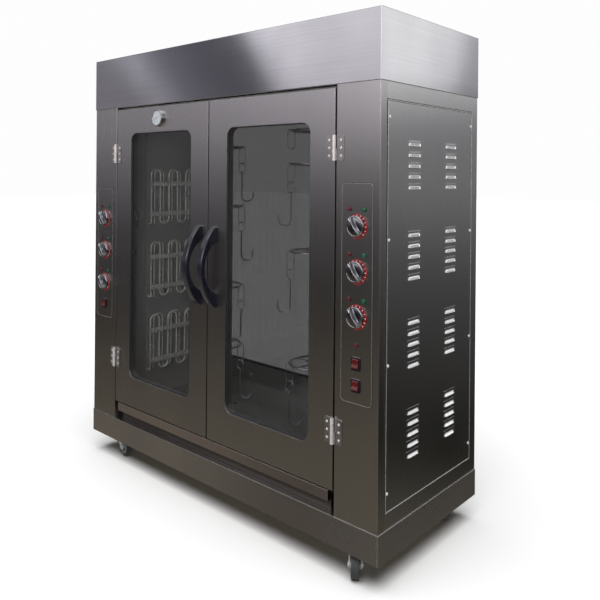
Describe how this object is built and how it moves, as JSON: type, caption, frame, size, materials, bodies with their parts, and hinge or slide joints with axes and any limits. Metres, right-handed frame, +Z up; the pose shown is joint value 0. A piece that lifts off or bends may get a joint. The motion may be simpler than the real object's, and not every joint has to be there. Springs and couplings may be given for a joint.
{
  "type": "electric rotisserie",
  "caption": "Tall double-door electric rotisserie cabinet on casters, with hook carousels, side heaters, control posts and a drip tray.",
  "frame": {"origin": "on the floor, under the middle of the whole object with its door handles", "axes": "+Z up, doors face -Y, +X to the right as seen from the front"},
  "size_m": [1.471, 0.644, 1.63],
  "materials": {
    "sheet_steel": "brushed",
    "chamber_steel": "brushed",
    "wire_steel": "polished",
    "glass": "clear",
    "grip_black": "gloss",
    "knob_chrome": "polished",
    "dial_red": "painted",
    "lamp_lens": "gloss",
    "switch_black": "satin",
    "rocker_red": "gloss",
    "heater_tube": "satin",
    "zinc": "zinc plated",
    "rubber": "matte",
    "ceramic": "matte",
    "motor": "cast"
  },
  "bodies": {
    "cabinet": {"base_frame": "sheet_steel", "base_deck": "sheet_steel", "left_front_post": "sheet_steel", "right_front_post": "sheet_steel", "side_casings": "sheet_steel", "louvre_panels": "sheet_steel", "chamber_walls": "chamber_steel", "chamber_floor": "chamber_steel", "chamber_ceiling": "chamber_steel", "hood": "sheet_steel", "back_frame": "sheet_steel", "rear_glass": "glass", "control_plates": "sheet_steel", "dial_rings": "dial_red", "pilot_lamps": "lamp_lens", "switch_bezels": "switch_black", "thermostats": "ceramic", "heaters": "heater_tube", "heater_clamps": "chamber_steel", "hinge_plates": "wire_steel", "panel_screws": "wire_steel", "gear_motors": "motor", "shaft_bearings": "wire_steel", "terminal_block": "ceramic", "cable_gland": "switch_black", "caster_plates": "zinc"},
    "left_door": {"left_door_frame": "sheet_steel", "left_door_liner": "chamber_steel", "left_door_glass": "glass", "left_door_handle": "grip_black", "left_hinge_leaves": "wire_steel", "thermometer": "wire_steel"},
    "right_door": {"right_door_frame": "sheet_steel", "right_door_liner": "chamber_steel", "right_door_glass": "glass", "right_door_handle": "grip_black", "right_hinge_leaves": "wire_steel"},
    "tray": {"drip_tray": "sheet_steel", "tray_lip": "sheet_steel"},
    "left_rotor": {"left_carousel": "wire_steel", "left_hangers": "wire_steel"},
    "right_rotor": {"right_carousel": "wire_steel", "right_hangers": "wire_steel"},
    "knob_left_1": {"knob_left_1": "knob_chrome"},
    "knob_left_2": {"knob_left_2": "knob_chrome"},
    "knob_left_3": {"knob_left_3": "knob_chrome"},
    "knob_right_1": {"knob_right_1": "knob_chrome"},
    "knob_right_2": {"knob_right_2": "knob_chrome"},
    "knob_right_3": {"knob_right_3": "knob_chrome"},
    "rocker_left": {"rocker_left": "rocker_red"},
    "rocker_right_1": {"rocker_right_1": "rocker_red"},
    "rocker_right_2": {"rocker_right_2": "rocker_red"},
    "front_left_fork": {"front_left_fork": "zinc"},
    "front_left_wheel": {"front_left_wheel": "rubber"},
    "front_right_fork": {"front_right_fork": "zinc"},
    "front_right_wheel": {"front_right_wheel": "rubber"},
    "rear_left_fork": {"rear_left_fork": "zinc"},
    "rear_left_wheel": {"rear_left_wheel": "rubber"},
    "rear_right_fork": {"rear_right_fork": "zinc"},
    "rear_right_wheel": {"rear_right_wheel": "rubber"}
  },
  "joints": [
    {"name": "left_door_hinge", "type": "hinge", "parent": "cabinet", "child": "left_door", "pos_m": [-0.568, -0.257, 0.828], "axis": [0, 0, -1], "range_deg": [0, 110]},
    {"name": "right_door_hinge", "type": "hinge", "parent": "cabinet", "child": "right_door", "pos_m": [0.568, -0.257, 0.828], "axis": [0, 0, 1], "range_deg": [0, 110]},
    {"name": "drip_tray_slide", "type": "slide", "parent": "cabinet", "child": "tray", "axis": [0, -1, 0], "range_m": [0, 0.45]},
    {"name": "left_carousel_turn", "type": "hinge", "parent": "cabinet", "child": "left_rotor", "pos_m": [-0.258, 0.03, 0.85], "axis": [0, 0, 1], "continuous": true},
    {"name": "knob_left_1_turn", "type": "hinge", "parent": "cabinet", "child": "knob_left_1", "pos_m": [-0.649, -0.253, 0.975], "axis": [0, 1, 0], "range_deg": [0, 270]},
    {"name": "knob_left_2_turn", "type": "hinge", "parent": "cabinet", "child": "knob_left_2", "pos_m": [-0.649, -0.253, 0.844], "axis": [0, 1, 0], "range_deg": [0, 270]},
    {"name": "knob_left_3_turn", "type": "hinge", "parent": "cabinet", "child": "knob_left_3", "pos_m": [-0.649, -0.253, 0.712], "axis": [0, 1, 0], "range_deg": [0, 270]},
    {"name": "right_carousel_turn", "type": "hinge", "parent": "cabinet", "child": "right_rotor", "pos_m": [0.258, 0.03, 0.85], "axis": [0, 0, 1], "continuous": true},
    {"name": "knob_right_1_turn", "type": "hinge", "parent": "cabinet", "child": "knob_right_1", "pos_m": [0.649, -0.253, 1.016], "axis": [0, 1, 0], "range_deg": [0, 270]},
    {"name": "knob_right_2_turn", "type": "hinge", "parent": "cabinet", "child": "knob_right_2", "pos_m": [0.649, -0.253, 0.887], "axis": [0, 1, 0], "range_deg": [0, 270]},
    {"name": "knob_right_3_turn", "type": "hinge", "parent": "cabinet", "child": "knob_right_3", "pos_m": [0.649, -0.253, 0.759], "axis": [0, 1, 0], "range_deg": [0, 270]},
    {"name": "rocker_left_tilt", "type": "hinge", "parent": "cabinet", "child": "rocker_left", "pos_m": [-0.649, -0.2467, 0.623], "axis": [1, 0, 0], "range_deg": [0, 24]},
    {"name": "rocker_right_1_tilt", "type": "hinge", "parent": "cabinet", "child": "rocker_right_1", "pos_m": [0.649, -0.2467, 0.626], "axis": [1, 0, 0], "range_deg": [0, 24]},
    {"name": "rocker_right_2_tilt", "type": "hinge", "parent": "cabinet", "child": "rocker_right_2", "pos_m": [0.649, -0.2467, 0.564], "axis": [1, 0, 0], "range_deg": [0, 24]},
    {"name": "front_left_swivel", "type": "hinge", "parent": "cabinet", "child": "front_left_fork", "pos_m": [-0.6075, -0.188, 0.09], "axis": [0, 0, 1], "continuous": true},
    {"name": "front_left_roll", "type": "hinge", "parent": "front_left_fork", "child": "front_left_wheel", "pos_m": [-0.57033, -0.1959, 0.0375], "axis": [0.2079, 0.9781, 0], "continuous": true},
    {"name": "front_right_swivel", "type": "hinge", "parent": "cabinet", "child": "front_right_fork", "pos_m": [0.6075, -0.188, 0.09], "axis": [0, 0, 1], "continuous": true},
    {"name": "front_right_roll", "type": "hinge", "parent": "front_right_fork", "child": "front_right_wheel", "pos_m": [0.6293, -0.21913, 0.0375], "axis": [0.8192, 0.5736, 0], "continuous": true},
    {"name": "rear_left_swivel", "type": "hinge", "parent": "cabinet", "child": "rear_left_fork", "pos_m": [-0.6075, 0.258, 0.09], "axis": [0, 0, 1], "continuous": true},
    {"name": "rear_left_roll", "type": "hinge", "parent": "rear_left_fork", "child": "rear_left_wheel", "pos_m": [-0.57008, 0.2646, 0.0375], "axis": [-0.1736, 0.9848, 0], "continuous": true},
    {"name": "rear_right_swivel", "type": "hinge", "parent": "cabinet", "child": "rear_right_fork", "pos_m": [0.6075, 0.258, 0.09], "axis": [0, 0, 1], "continuous": true},
    {"name": "rear_right_roll", "type": "hinge", "parent": "rear_right_fork", "child": "rear_right_wheel", "pos_m": [0.64321, 0.245, 0.0375], "axis": [0.342, 0.9397, 0], "continuous": true}
  ]
}
